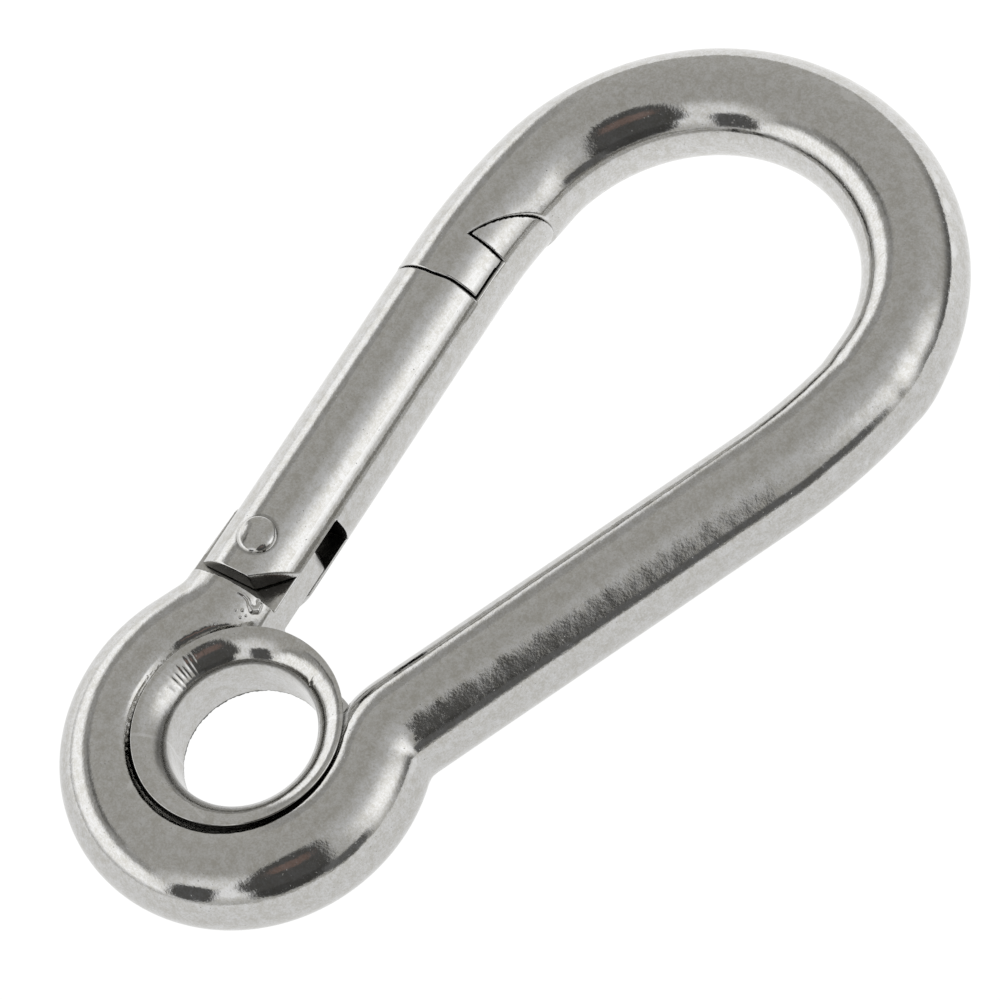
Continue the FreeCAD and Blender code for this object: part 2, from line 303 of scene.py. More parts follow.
def head_field(across, along, gap):
    """The gate's hooked head, or with a gap the pocket it enters."""
    apex = BLADE_IN - gap
    foot = (apex, sqrt((HOOK_R - gap) ** 2 - apex * apex))
    slide = gap * HEAD_GAP_SHARE
    tips = [(p[0] - slide, p[1]) for p in (HEAD_MID, HEAD_TIP)]
    centre, radius = circle_through(foot, *tips)
    top = np.maximum(np.hypot(across - centre[0], along - centre[1]) - radius, across - CUT_FAR)
    under = HOOK_R - gap - np.hypot(across, along)
    return top, under


def blade_field(across, along, z, gap, side_gap, fillet):
    """The flat web below the gate's head, or with gaps the slot between the claws."""
    flat = both(np.abs(z) - BLADE_HALF - side_gap, BLADE_IN - gap - across, fillet)
    return np.maximum(np.maximum(flat, across - CUT_FAR), box_field(along, SPLIT_R - 2, HOOK_R + 0.1))


def latch_field(across, along, z, gap, side_gap, fillet):
    """Blade and head together."""
    top, under = head_field(across, along, gap)
    head = both(top, under, HEAD_CORNER_R)
    return np.minimum(blade_field(across, along, z, gap, side_gap, fillet), head)


def ease(value, low, high):
    """0 below low, 1 above high, smooth between."""
    t = np.clip((value - low) / (high - low), 0, 1)
    return t * t * (3 - 2 * t)


def tongue_top(across, along):
    """Below the top of the tongue: rounded outer corner, then the cam."""
    corner = polar((0, 0), TONGUE_OUT_R, TONGUE_OUT_ANGLE)
    slope = (CAM_START - corner[1]) / (CAM_RATE - corner[0])
    ramp = (along - corner[1] - slope * (across - corner[0])) / hypot(1, slope)
    top = ramp
    for degree in range(0, 46, 3):
        angle = radians(degree)
        reach = CAM_START + CAM_RATE * angle
        top = np.maximum(top, across * sin(angle) + along * cos(angle) - reach)
    corner_round = np.where(along > 0, np.hypot(across, along) - TONGUE_CORNER_R, -1.0)
    return np.maximum(top, np.where(across < 0, corner_round, -1.0))


def scar_field(across, along, z):
    """The raised spatter bead: round drops joined in a line, with a few loose ones."""
    best = np.full(np.broadcast(across, along, z).shape, 1e9)
    for start, end in list(zip(SCAR, SCAR[1:])) + [(drop, drop) for drop in SPATTER]:
        start, end = np.array(start), np.array(end)
        way = end[:3] - start[:3]
        size = max(way @ way, 1e-9)
        run = ((across - start[0]) * way[0] + (along - start[1]) * way[1] + (z - start[2]) * way[2]) / size
        run = np.clip(run, 0, 1)
        at = [start[i] + run * way[i] for i in range(3)]
        gap = np.sqrt((across - at[0]) ** 2 + (along - at[1]) ** 2 + (z - at[2]) ** 2)
        best = np.minimum(best, gap - start[3] - run * (end[3] - start[3]))
    return best


def scarred_field(across, along, z):
    """The bar's skin close to the spatter, joined to it with a soft corner."""
    bar = np.hypot(path_distance(BODY_PATH, *to_row(across, along)), z) - BAR_R
    scar = scar_field(across, along, z)
    return np.maximum(either(bar - SCAR_LIFT, scar, SCAR_JOIN_R), scar - SCAR_SKIN)


def body_bar(across, along, z):
    """The round bar: a lip by the gate's tip, a swollen shoulder and a dish under the flanges."""
    x, y = to_row(across, along)
    lip = LIP_RISE * ease(across, 3.0, 5.0) * ease(along, 37.5, 39.5) * (1 - ease(along, 40.5, 43.5))
    swell = SHOULDER_SWELL * ease(-across, 1.5, 4.5) * ease(along, -9, SHOULDER) * (1 - ease(along, 0, 4))
    dish = FLANGE_DISH * (1 - ease(np.hypot(x, y), *DISH_EDGE)) * ease(np.abs(z), 1, 3)
    return np.hypot(path_distance(BODY_PATH, x, y), z) - BAR_R - lip - swell + dish


def forked(bar, across, along, z, near):
    """The bar's nose cut off at the joint and forked for the gate's blade and head."""
    reach = np.maximum(near, SPLIT_R - SPLIT_CUT_DEPTH - along)
    body = without(bar, both(split_field(across, along, LATCH_GAP), reach), NOSE_CORNER_R)
    pocket = latch_field(across, along, z, LATCH_GAP, SLOT_SIDE_GAP, 0.0)
    closing = TIP_CLOSE * ease(across, 4.4, 5.4) * ease(along, 36, 38)
    return without(body, pocket + closing, CLAW_CORNER_R)


def tongue_field(bar, across, along, z, near):
    """The flat tongue that the gate straddles."""
    back = np.where(across < 0, TONGUE_BACK_SLOPE * along - TONGUE_BACK - across, bar)
    tongue = both(back, np.abs(z) - TONGUE_HALF, SHOULDER_CORNER_R)
    tongue = both(tongue, np.maximum(tongue_top(across, along), SHOULDER - 1 - along), TONGUE_EDGE_R)
    return np.maximum(tongue, near)


def body_field(across, along, z):
    """Body: bar, forked nose, tongue with its shoulder and hole."""
    near = np.abs(across) - CUT_HALF
    bar = body_bar(across, along, z)
    body = forked(bar, across, along, z, near)
    zone = np.maximum(near, box_field(along, SHOULDER, SHOULDER_CUT_TOP))
    shoulder = without(body, zone, SHOULDER_CORNER_R)
    body = either(shoulder, tongue_field(bar, across, along, z, near), TONGUE_ROOT_R)
    flat = np.maximum(box_field(across, TONGUE_IN, CUT_FAR), box_field(along, -9.5, 6))
    body = without(body, flat, SHOULDER_CORNER_R)
    return without(body, np.hypot(across, along) - RIVET_R - RIVET_RUN_GAP)


def cheek_ends(across, along):
    """Below the cheeks: square at the end, chamfered and then steep on the loop side."""
    chamfer = (across - CHEEK_CHAMFER_IN + CHEEK_END - along) / sqrt(2)
    knee = (CHEEK_CHAMFER_IN + CHEEK_CHAMFER, CHEEK_END + CHEEK_CHAMFER)
    steep = (4.0 * (across - knee[0]) - 2.75 * (along - knee[1])) / hypot(4.0, 2.75)
    return both(CHEEK_END - along, np.maximum(chamfer, steep), CHEEK_CORNER_R)


def gate_slot(across, along, z):
    """The slot that takes the tongue, with a round end on the outer side."""
    far_arc = np.hypot(across, along) - SLOT_END_R - 0.5 * ease(-across, 3.3, 3.9)
    inner_end = np.maximum(-across, along - SLOT_END_R - SLOT_END_RISE * across)
    slot_end = np.minimum(np.minimum(along, far_arc), inner_end)
    return both(np.abs(z) - SLOT_HALF, slot_end, SLOT_CORNER_R)


def gate_field(across, along, z):
    """Gate: round stock, cheeks and slot at the hinge, blade and head at the latch."""
    x, y = to_row(across, along)
    stock = np.hypot(path_distance(GATE_PATH, x, y), z) - GATE_R
    ends = both(split_field(across, along, 0), cheek_ends(across, along))
    lower = both(stock, ends, SPLIT_CORNER_R)
    tip = 0.1 + TIP_ROUND * ease(across, 3.2, 5.2) * ease(along, 35.5, 38)
    upper = both(stock, latch_field(across, along, z, 0, -BLADE_RELIEF, 0.08), tip)
    whole = without(either(lower, upper, 0.05), gate_slot(across, along, z), SLOT_CORNER_R)
    bore = np.maximum(np.hypot(across, z) - BORE_R, box_field(along, 0, BORE_BOTTOM))
    whole = without(whole, bore, 0.05)
    rivet_way = np.hypot(across, along)
    return without(whole, np.maximum(rivet_way - RIVET_R, np.abs(z) - HEAD_FLOOR))


# ---- Meshes

def grid_line(*spans):
    """Grid positions from (start, end, step) spans that follow each other."""
    parts = []
    for start, end, step in spans:
        count = max(1, round((end - start) / step))
        parts.append(np.linspace(start, end, count, endpoint=False))
    return np.concatenate(parts + [np.array([spans[-1][1]])])


def net(field, lines):
    """Quads around the zero surface of a field sampled on a grid: one point in each cell it crosses."""
    a, b, c = lines
    value = field(a[:, None, None], b[None, :, None], c[None, None, :])
    value = np.broadcast_to(value, (len(a), len(b), len(c)))
    inside = value < 0
    corners = [(i, j, k) for i in (0, 1) for j in (0, 1) for k in (0, 1)]
    shape = [s - 1 for s in value.shape]
    count = sum(
        inside[i:i + shape[0], j:j + shape[1], k:k + shape[2]].astype(np.int8) for i, j, k in corners)
    cells = np.argwhere((count > 0) & (count < 8))
    number = np.full(shape, -1, np.int32)
    number[tuple(cells.T)] = np.arange(len(cells))
    total = np.zeros((len(cells), 3))
    crossings = np.zeros(len(cells))
    for first in corners:
        for axis in range(3):
            if first[axis]:
                continue
            last = list(first)
            last[axis] = 1
            at0, at1 = cells + first, cells + last
            v0, v1 = value[tuple(at0.T)], value[tuple(at1.T)]
            cut = (v0 < 0) != (v1 < 0)
            share = np.where(cut, v0 / np.where(cut, v0 - v1, 1), 0)[:, None]
            p0 = np.stack([a[at0[:, 0]], b[at0[:, 1]], c[at0[:, 2]]], 1)
            p1 = np.stack([a[at1[:, 0]], b[at1[:, 1]], c[at1[:, 2]]], 1)
            total += (p0 + (p1 - p0) * share) * cut[:, None]
            crossings += cut
    points = total / crossings[:, None]
    quads = []
    for axis in range(3):
        step = np.zeros(3, int)
        step[axis] = 1
        u, v = np.eye(3, dtype=int)[(axis + 1) % 3], np.eye(3, dtype=int)[(axis + 2) % 3]
        here = inside[tuple(slice(0, n - s) for n, s in zip(value.shape, step))]
        there = inside[tuple(slice(s, n) for n, s in zip(value.shape, step))]
        edge = np.argwhere(here != there)
        edge = edge[(edge @ u > 0) & (edge @ v > 0)]
        room_u, room_v = value.shape[(axis + 1) % 3] - 1, value.shape[(axis + 2) % 3] - 1
        edge = edge[(edge @ u < room_u) & (edge @ v < room_v)]
        around = [edge - du * u - dv * v for du, dv in ((0, 0), (1, 0), (1, 1), (0, 1))]
        ring = np.stack([number[tuple(cell.T)] for cell in around], 1)
        outward = here[tuple(edge.T)]
        ring[~outward] = ring[~outward][:, ::-1]
        quads.append(ring)
    return points, np.concatenate(quads)


def slope(field, points, step=2e-3):
    """Gradient of a field at points."""
    columns = []
    for axis in range(3):
        shift = np.zeros(3)
        shift[axis] = step
        ahead, behind = points + shift, points - shift
        columns.append((field(*ahead.T) - field(*behind.T)) / (2 * step))
    return np.stack(columns, 1)


def settle(field, points, rounds, reach):
    """Moves points onto the zero surface."""
    for _ in range(rounds):
        steep = slope(field, points)
        size = np.maximum((steep * steep).sum(1), 0.2)
        move = -(field(*points.T) / size)[:, None] * steep
        length = np.maximum(np.linalg.norm(move, axis=1), 1e-9)[:, None]
        points = points + move * np.minimum(1, reach / length)
    return points


def evened(points, quads):
    """Each point moved to the mean of its neighbours."""
    total = np.zeros_like(points)
    count = np.zeros(len(points))
    for i in range(4):
        for j in ((i + 1) % 4, (i + 3) % 4):
            np.add.at(total, quads[:, i], points[quads[:, j]])
            np.add.at(count, quads[:, i], 1)
    return total / np.maximum(count, 1)[:, None]


def new_mesh(name, points, faces, normals=None, shade_and_grime=None):
    """A smooth mesh object from millimetre points in the row frame."""
    mesh = bpy.data.meshes.new(name)
    mesh.from_pydata((points * MM).tolist(), [], [tuple(face) for face in faces])
    mesh.shade_smooth()
    if normals is not None:
        mesh.normals_split_custom_set_from_vertices(normals.tolist())
    # Per point share of painted shade in gaps and recesses, with some grime, read by the steel material.
    shade_and_dirt = mesh.attributes.new("shade_and_grime", "FLOAT", "POINT")
    shade_and_dirt.data.foreach_set("value", np.zeros(len(points)) if shade_and_grime is None else shade_and_grime)
    obj = bpy.data.objects.new(name, mesh)
    bpy.context.collection.objects.link(obj)
    return obj


def carved(name, parts, shade_and_grime):
    """A mesh of distance fields in hinge coordinates, with true normals. Parts are (field, grid lines)."""
    points, quads, normals = [], [], []
    for field, lines in parts:
        some, faces = net(field, lines)
        some = settle(field, some, 2, 0.3)
        for _ in range(2):
            some = settle(field, 0.5 * some + 0.5 * evened(some, faces), 2, 0.15)
        steep = slope(field, some)
        normals.append(steep / np.maximum(np.linalg.norm(steep, axis=1), 1e-9)[:, None])
        quads.append(faces + sum(len(p) for p in points))
        points.append(some)
    points, quads, normals = (np.concatenate(group) for group in (points, quads, normals))
    lean = radians(GATE_LEAN)
    turn = np.array([[cos(lean), -sin(lean), 0], [sin(lean), cos(lean), 0], [0, 0, 1]])
    placed = points @ turn.T + np.array([PIVOT[0], PIVOT[1], 0])
    return new_mesh(name, placed, quads, normals @ turn.T, shade_and_grime(*points.T))


def lathe(name, outline, centre, axis, sides, bend=None, shade_and_grime=None):
    """A turned piece: outline of (radius, height) points about an axis, from pole to pole or closed."""
    axis = Vector(axis).normalized()
    across = (Vector((1, 0, 0)) - axis * axis.x).normalized()
    side = axis.cross(across)
    outline = np.array(outline, float)
    closed = outline[0][0] > 1e-6
    rows = outline if closed else outline[1:-1]
    angle = np.arange(sides) * 2 * pi / sides
    ring = np.cos(angle)[:, None] * np.array(across) + np.sin(angle)[:, None] * np.array(side)
    radius, height, turn = np.broadcast_arrays(rows[:, :1], rows[:, 1:], angle[None, :])
    # Share of painted shade and grime per point, from the given function.
    shade_and_dirt = np.zeros(radius.shape) if shade_and_grime is None else shade_and_grime(radius, height, turn)
    if bend is not None:
        radius, height = bend(radius, height, turn)
    points = radius[..., None] * ring[None] + height[..., None] * np.array(axis)
    points = points.reshape(-1, 3) + np.array(centre)
    last = len(rows) if closed else len(rows) - 1
    faces = [
        (i * sides + j, i * sides + (j + 1) % sides,
         (i + 1) % len(rows) * sides + (j + 1) % sides, (i + 1) % len(rows) * sides + j)
        for i in range(last) for j in range(sides)]
    shade_and_dirt = shade_and_dirt.ravel()
    if not closed:
        count = len(points)
        points = np.vstack([points] + [np.array(centre) + outline[i][1] * np.array(axis) for i in (0, -1)])
        faces += [(count, (j + 1) % sides, j) for j in range(sides)]
        faces += [(count + 1, count - sides + j, count - sides + (j + 1) % sides) for j in range(sides)]
        shade_and_dirt = np.concatenate([shade_and_dirt, [0, 0]])
    return new_mesh(name, points, faces, shade_and_grime=shade_and_dirt)


# ---- Camera, light and floor

# The camera looks down from the loop's solid side through a long lens. Its place is in metres.
CAMERA_AT = (0.3093, -0.0766, 0.5557)
CAMERA_RIGHT = (0.6771, 0.6954, -0.2406)
CAMERA_UP = (-0.5587, 0.6986, 0.4469)
CAMERA_LENS = 259.2


def make_camera():
    """A camera at the photograph's viewing angle."""
    camera = bpy.data.objects.new("camera", bpy.data.cameras.new("camera"))
    camera.data.sensor_width = 36
    camera.data.lens = CAMERA_LENS
    camera.data.clip_start, camera.data.clip_end = 0.01, 50
    right, up = Vector(CAMERA_RIGHT), Vector(CAMERA_UP)
    turn = Matrix((right, up, right.cross(up))).transposed().to_4x4()
    camera.matrix_world = Matrix.Translation(CAMERA_AT) @ turn
    bpy.context.collection.objects.link(camera)
    bpy.context.scene.camera = camera


class Nodes:
    """Short calls to build a node tree."""

    def __init__(self, tree):
        self.tree = tree
        tree.nodes.clear()

    def add(self, kind, out=0, settings=None, **inputs):
        """Adds a node, sets or links its inputs by name, and returns one output."""
        node = self.tree.nodes.new(kind)
        for key, value in (settings or {}).items():
            setattr(node, key, value)
        for key, value in inputs.items():
            socket = node.inputs[int(key[1:])] if key[1:].isdigit() else node.inputs[key.replace("_", " ")]
            self.put(socket, value)
        return node.outputs[out] if len(node.outputs) else None

    def put(self, socket, value):
        """Links an output to a socket, or sets the socket's own value."""
        if isinstance(value, bpy.types.NodeSocket):
            self.tree.links.new(value, socket)
        else:
            socket.default_value = value

    def math(self, operation, a, b=0.0, clamp=False):
        """One Math node."""
        return self.add("ShaderNodeMath", settings={"operation": operation, "use_clamp": clamp}, i0=a, i1=b)

    def step(self, value, low, high, to_low=0.0, to_high=1.0):
        """A smooth step between two values."""
        return self.add("ShaderNodeMapRange", settings={"interpolation_type": "SMOOTHSTEP"}, Value=value,
                        From_Min=low, From_Max=high, To_Min=to_low, To_Max=to_high)

    def mix(self, share, a, b):
        """Two colours mixed."""
        node = self.tree.nodes.new("ShaderNodeMix")
        node.data_type = "RGBA"
        for index, value in ((0, share), (6, a), (7, b)):
            self.put(node.inputs[index], value)
        return node.outputs[2]


def grey(value, warmth=0.0):
    """A near grey colour. Warmth lowers blue and a little green."""
    return (value, value * (1 - 0.25 * warmth), value * (1 - warmth), 1)


# What stands round the table, as soft boxes on the sky in degrees: azimuth from +X toward +Y and
# half width, elevation and half height, edge softness as a share of the size, and radiance.
STUDIO = [
    ("wall", -150, 50, 21, 22, 0.06, grey(0.415, 0.04)),
    ("softbox", -140, 66, -104, 136, 0.035, grey(1.42)),
    ("softbox_frame", -152, 20, 43.6, 2.5, 0.7, grey(0.17, 0.04)),
    ("low_fill", -121, 64, -5, 11, 0.45, grey(0.69)),
    ("ceiling_glow", 34, 41, 55, 20, 0.9, grey(0.68)),
    ("window", 33, 18.5, 28.5, 18, 0.9, grey(1.5)),
    ("side_fill", -68, 29, 33, 22, 0.5, grey(0.98)),
    ("stand", -80, 10.8, 19.7, 14.9, 0.14, grey(0.12)),
    ("photographer", -29.7, 22.2, 24, 19, 0.1, grey(0.07, 0.03)),
    ("head", -33.2, 26.6, 50, 27, 0.1, grey(0.1, 0.03)),
    ("sleeve", -32, 15, 57, 6.5, 0.25, (0.21, 0.155, 0.138, 1)),
    ("bag", -1, 14.5, 10.5, 8.6, 0.3, grey(0.15)),
    ("clutter", 67.5, 31, -6, 18.6, 0.5, grey(0.14, 0.03)),
]
# The azimuth where the sky's wrap lies, out of the way of every patch, in degrees.
WRAP = 130
# The floor's half width and its gap under the rivet's head, in metres.
FLOOR_HALF = 3.0
FLOOR_GAP = 0.0001
BACKDROP = grey(0.93)


def make_world():
    """A plain room for the steel to reflect. The camera itself sees an even pale backdrop."""
    world = bpy.data.worlds.new("studio")
    bpy.context.scene.world = world
    world.use_nodes = True
    n = Nodes(world.node_tree)
    way = n.add("ShaderNodeTexCoord")
    middle = radians(WRAP - 180)

    def along(vector):
        return n.add("ShaderNodeVectorMath", 1, {"operation": "DOT_PRODUCT"}, i0=way, i1=vector)

    ahead, side = along((cos(middle), sin(middle), 0)), along((-sin(middle), cos(middle), 0))
    azimuth = n.math("MULTIPLY", n.math("ARCTAN2", side, ahead), 180 / pi)
    azimuth = n.math("ADD", azimuth, WRAP - 180)
    elevation = n.math("MULTIPLY", n.math("ARCSINE", along((0, 0, 1))), 180 / pi)
    colour = n.mix(n.step(elevation, 10, 75), grey(0.555, 0.05), grey(0.505, 0.06))
    for _, az, half_az, el, half_el, soft, radiance in STUDIO:
        powers = []
        for value, centre, half in ((azimuth, az, half_az), (elevation, el, half_el)):
            offset = n.math("DIVIDE", n.math("SUBTRACT", value, centre), half)
            powers.append(n.math("POWER", n.math("ABSOLUTE", offset), 4.0))
        size = n.math("POWER", n.math("ADD", *powers), 0.25)
        colour = n.mix(n.step(size, 1 - soft, 1 + soft, 1, 0), colour, radiance)
    seen = n.add("ShaderNodeLightPath", 0)
    colour = n.mix(seen, colour, BACKDROP)
    surface = n.add("ShaderNodeBackground", Color=colour)
    n.add("ShaderNodeOutputWorld", Surface=surface)


def make_floor():
    """A plain white table, lit so that it shows as an even white sweep."""
    z = -HEAD_TOP * MM - FLOOR_GAP
    corners = [(FLOOR_HALF * i, FLOOR_HALF * j, z) for i, j in ((-1, -1), (1, -1), (1, 1), (-1, 1))]
    mesh = bpy.data.meshes.new("floor")
    mesh.from_pydata(corners, [], [(0, 1, 2, 3)])
    floor = bpy.data.objects.new("floor", mesh)
    bpy.context.collection.objects.link(floor)
    material = bpy.data.materials.new("white_table")
    material.use_nodes = True
    n = Nodes(material.node_tree)
    place = n.add("ShaderNodeTexCoord", 3)
    spill = n.add("ShaderNodeVectorMath", 1, {"operation": "DOT_PRODUCT"}, i0=place, i1=(-0.82, 0.57, 0))
    seen = n.add("ShaderNodeLightPath", 0)
    glow = n.math("MAXIMUM", n.step(spill, 0.0, 0.06, 0.84, 1.02), n.math("MULTIPLY", seen, 0.97))
    surface = n.add("ShaderNodeBsdfPrincipled", Base_Color=grey(0.1), Roughness=0.9,
                    Emission_Color=grey(1.0), Emission_Strength=glow)
    n.add("ShaderNodeOutputMaterial", Surface=surface)
    mesh.materials.append(material)


# ---- Materials

# Noise patterns are sized in millimetres.
PER_METRE = 1000
STEEL_TONE = 0.57
STEEL_ROUGH = 0.055


def flange_shadow_mask(n, noise, bare, level, ring):
    """Mask for painted shadow: 1 on the faces that lie under a flange, ragged at the edge. A ring is (X, Y,
    radius, softness).
    """
    x, y, radius, softness = ring
    flat = n.add(
        "ShaderNodeMapping", Vector=bare, Scale=(PER_METRE, PER_METRE, 0), Location=(-x, -y, 0))
    away = n.add("ShaderNodeVectorMath", 1, {"operation": "LENGTH"}, i0=flat)
    away = n.math("ADD", away, n.math("MULTIPLY", noise(3.0, 4.0, 0.7), 0.3))
    inside = n.step(away, radius, radius + softness, 0.95, 0)
    return n.math("MULTIPLY", inside, n.step(n.math("ABSOLUTE", level), 2.5, 3.2))


def steel(name, seed=0.0, wave=1.0, pits=1.0, ring=None):
    """Tumble polished stainless: mottled sheen, orange peel, fine pits, hairline scratches, and gaps darkened
    with painted shade and some grime. A ring adds painted shadow under a flange.
    """
    material = bpy.data.materials.new(name)
    material.use_nodes = True
    n = Nodes(material.node_tree)
    bare = n.add("ShaderNodeTexCoord", 3)
    place = n.add(
        "ShaderNodeMapping", Vector=bare, Scale=(PER_METRE,) * 3, Location=(seed, seed * 2, seed * 3))

    def noise(scale, detail=3.0, roughness=0.5, vector=place):
        return n.add("ShaderNodeTexNoise", 0, Vector=vector, Scale=scale, Detail=detail, Roughness=roughness)

    # Colour: mottled grey with dark pits and pale worn edges
    mottle = noise(1.0, 8.0, 0.8)
    fine = noise(5.0, 3.0, 0.7)
    blend = n.math("ADD", n.math("MULTIPLY", mottle, 0.6), n.math("MULTIPLY", fine, 0.4))
    colour = n.mix(n.step(blend, 0.38, 0.62), grey(STEEL_TONE * 0.86, 0.09), grey(STEEL_TONE * 1.12, 0.0))
    bent = n.add("ShaderNodeVectorMath", 0, {"operation": "MULTIPLY_ADD"},
                 i0=n.add("ShaderNodeTexNoise", 1, Vector=place, Scale=6.0), i1=(0.25, 0.25, 0.25), i2=place)
    spots = n.add("ShaderNodeTexVoronoi", 0, Vector=bent, Scale=2.0)
    chosen = n.step(noise(0.5, 3.0), 0.45, 0.6)
    pit = n.math("MULTIPLY", n.step(spots, 0.03, 0.12, 0.8, 0), chosen)
    colour = n.mix(n.math("MULTIPLY", pit, 0.8 * pits), colour, grey(0.06, 0.2))
    worn = n.add("ShaderNodeNewGeometry", 7)
    colour = n.mix(n.step(worn, 0.51, 0.58, 0, 0.5), colour, grey(0.74))

    # Painted shade and grime: where the mesh attribute says so, and painted shadow under the flange
    turn = (0, 0, radians(-GATE_LEAN))
    cuts = n.add("ShaderNodeMapping", Vector=place, Rotation=turn, Scale=(5.0, 0.35, 5.0))
    machined = noise(1.0, 3.0, 0.6, cuts)
    shade_and_dirt = n.add("ShaderNodeAttribute", 2, {"attribute_name": "shade_and_grime"})
    if ring:
        level = n.add("ShaderNodeSeparateXYZ", 2, Vector=place)
        shade_and_dirt = n.math("MAXIMUM", shade_and_dirt, flange_shadow_mask(n, noise, bare, level, ring))
    dark = n.mix(n.step(machined, 0.35, 0.65), grey(0.03, 0.15), grey(0.07, 0.12))
    # Painted shade: gaps, recesses and the ring under the flange go near black, with some grime of unpolished
    # cut faces
    colour = n.mix(n.math("MULTIPLY", shade_and_dirt, 1.0, True), colour, dark)

    # Gloss and relief
    roughness = n.step(mottle, 0.3, 0.7, STEEL_ROUGH * 0.6, STEEL_ROUGH * 1.7)
    roughness = n.math("ADD", roughness, n.math("MULTIPLY", pit, 0.2))
    roughness = n.math("ADD", roughness, n.math("MULTIPLY", shade_and_dirt, 0.3), True)
    stretched = n.add("ShaderNodeMapping", Vector=place, Rotation=(0.3, 0.2, 0.7), Scale=(0.25, 9.0, 9.0))
    hair = n.step(noise(1.0, 2.0, 0.5, stretched), 0.66, 0.74)
    relief = n.math("MULTIPLY", noise(0.22, 2.0), 0.05 * wave)
    relief = n.math("ADD", relief, n.math("MULTIPLY", noise(1.1, 2.0), 0.008 * wave))
    relief = n.math("ADD", relief, n.math("MULTIPLY", noise(4.2, 3.0, 0.6), 0.0055))
    relief = n.math("SUBTRACT", relief, n.math("MULTIPLY", pit, 0.02 * pits))
    relief = n.math("SUBTRACT", relief, n.math("MULTIPLY", hair, 0.0015))
    relief = n.math("ADD", relief, n.math("MULTIPLY", n.math("MULTIPLY", machined, shade_and_dirt), 0.03))
    bump = n.add("ShaderNodeBump", Height=relief, Strength=1.0, Distance=MM)
    surface = n.add(
        "ShaderNodeBsdfPrincipled", Base_Color=colour, Metallic=1.0, Roughness=roughness, Normal=bump)
    n.add("ShaderNodeOutputMaterial", Surface=surface)
    return material


# ---- Pieces

def fit(piece, body, node, material):
    """Rides a finished piece on its body in place of its CAD node."""
    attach(piece, body)
    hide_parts(node)
    piece.data.materials.append(material)


def body_shade_and_grime(across, along, z):
    """Painted shade, with some grime of unpolished cut faces, where the cut faces of the nose and the hinge
    lie under the round surface.
    """
    x, y = to_row(across, along)
    depth = BAR_R - np.hypot(path_distance(BODY_PATH, x, y), z)
    near = np.abs(across) < CUT_HALF
    latch = ease(depth, 0.08, 0.3) * near * (along > LATCH_START) * (1 - 0.8 * ease(across, 4.4, 5.2))
    hinge = 0.35 * ease(depth, 0.7, 1.1) * near * (along > -7) * (along < 8)
    cam = 0.9 * ease(depth, 0.3, 0.6) * ease(along, 1.2, 2.0) * near * (along < 8)
    return np.maximum(np.maximum(latch, hinge), cam)


def gate_shade_and_grime(across, along, z):
    """Painted shade, with some grime of unpolished cut faces, in the slot, on the cheek ends and on the latch
    faces, and a painted shadow ring round the rivet's head.
    """
    x, y = to_row(across, along)
    depth = GATE_R - np.hypot(path_distance(GATE_PATH, x, y), z)
    at_hinge = along < 12
    latch = ease(depth, 0.08, 0.3) * (along > LATCH_START) * (1 - 0.85 * ease(across, 4.0, 4.9))
    cheek = 0.8 * ease(depth, 0.15, 0.5) * at_hinge
    slot = ease(depth, 0.1, 0.5) * (np.abs(z) < SLOT_HALF + 0.15) * at_hinge
    # Painted shadow ring where the rivet's head meets the gate.
    rivet = 0.4 * (1 - ease(np.abs(np.hypot(across, along) - HEAD_R), 0.05, 0.2)) * (depth < 0.1)
    return np.maximum(np.maximum(latch, cheek), np.maximum(slot, rivet))


def make_body():
    """The hook body, with a finer grid at the hinge, the latch and the spatter."""
    across = grid_line((-9.4, -6.5, 0.5), (-6.5, 7.2, 0.17), (7.2, 47.6, 0.75))
    along = grid_line(
        (-34.6, -6.4, 0.7), (-6.4, 5.4, 0.14), (5.4, 28.6, 0.7), (28.6, 41.4, 0.135), (41.4, 65.2, 0.7))
    thick = grid_line((-5.3, 5.3, 0.22))
    scar = [grid_line((low, high, 0.045)) for low, high in ((1.2, 4.2), (-7.7, -4.7), (2.9, 4.95))]
    parts = [(body_field, (across, along, thick)), (scarred_field, scar)]
    body = carved("hook_body_steel", parts, body_shade_and_grime)
    fit(body, "body", "hook_body", steel("polished_bar", ring=FLANGE_SHADE))


def make_gate():
    """The gate, with a finer grid at the hinge and the latch."""
    across = grid_line((-5.3, 6.9, 0.16))
    along = grid_line((-4.6, 6.6, 0.13), (6.6, 28.6, 0.5), (28.6, 41.6, 0.13))
    thick = grid_line((-5.3, 5.3, 0.18))
    gate = carved("gate_steel", [(gate_field, (across, along, thick))], gate_shade_and_grime)
    fit(gate, "gate", "gate", steel("polished_gate", seed=31.0))


def make_rivet():
    """Through rivet. Each head is a low dome with a full rounded edge."""
    ball = HEAD_CROWN_R / sin(radians(HEAD_CROWN_ANGLE))
    slopes = np.radians(np.linspace(HEAD_CROWN_ANGLE, 0, 9))
    crown = [(ball * sin(a), HEAD_TOP - ball * (1 - cos(a))) for a in slopes]
    drops = [(0.0, 0.95), (0.03, 0.84), (0.07, 0.72), (0.11, 0.62), (0.18, 0.52), (0.26, 0.435), (0.38, 0.36),
             (0.51, 0.3)]
    edge = [(HEAD_R - inward, HEAD_TOP - drop) for inward, drop in drops]
    half = [(RIVET_R, HEAD_FLOOR), (HEAD_R - 0.02, HEAD_FLOOR), (HEAD_R, HEAD_FLOOR + 0.03)] + edge + crown
    half[-1] = (0.0, half[-1][1])
    outline = [(r, -h) for r, h in reversed(half)] + half
    rivet = lathe("rivet_steel", outline, (PIVOT[0], PIVOT[1], 0), (0, 0, 1), 96)
    fit(rivet, "gate", "hinge_rivet", steel("rivet_steel", seed=5.0, wave=1.4))


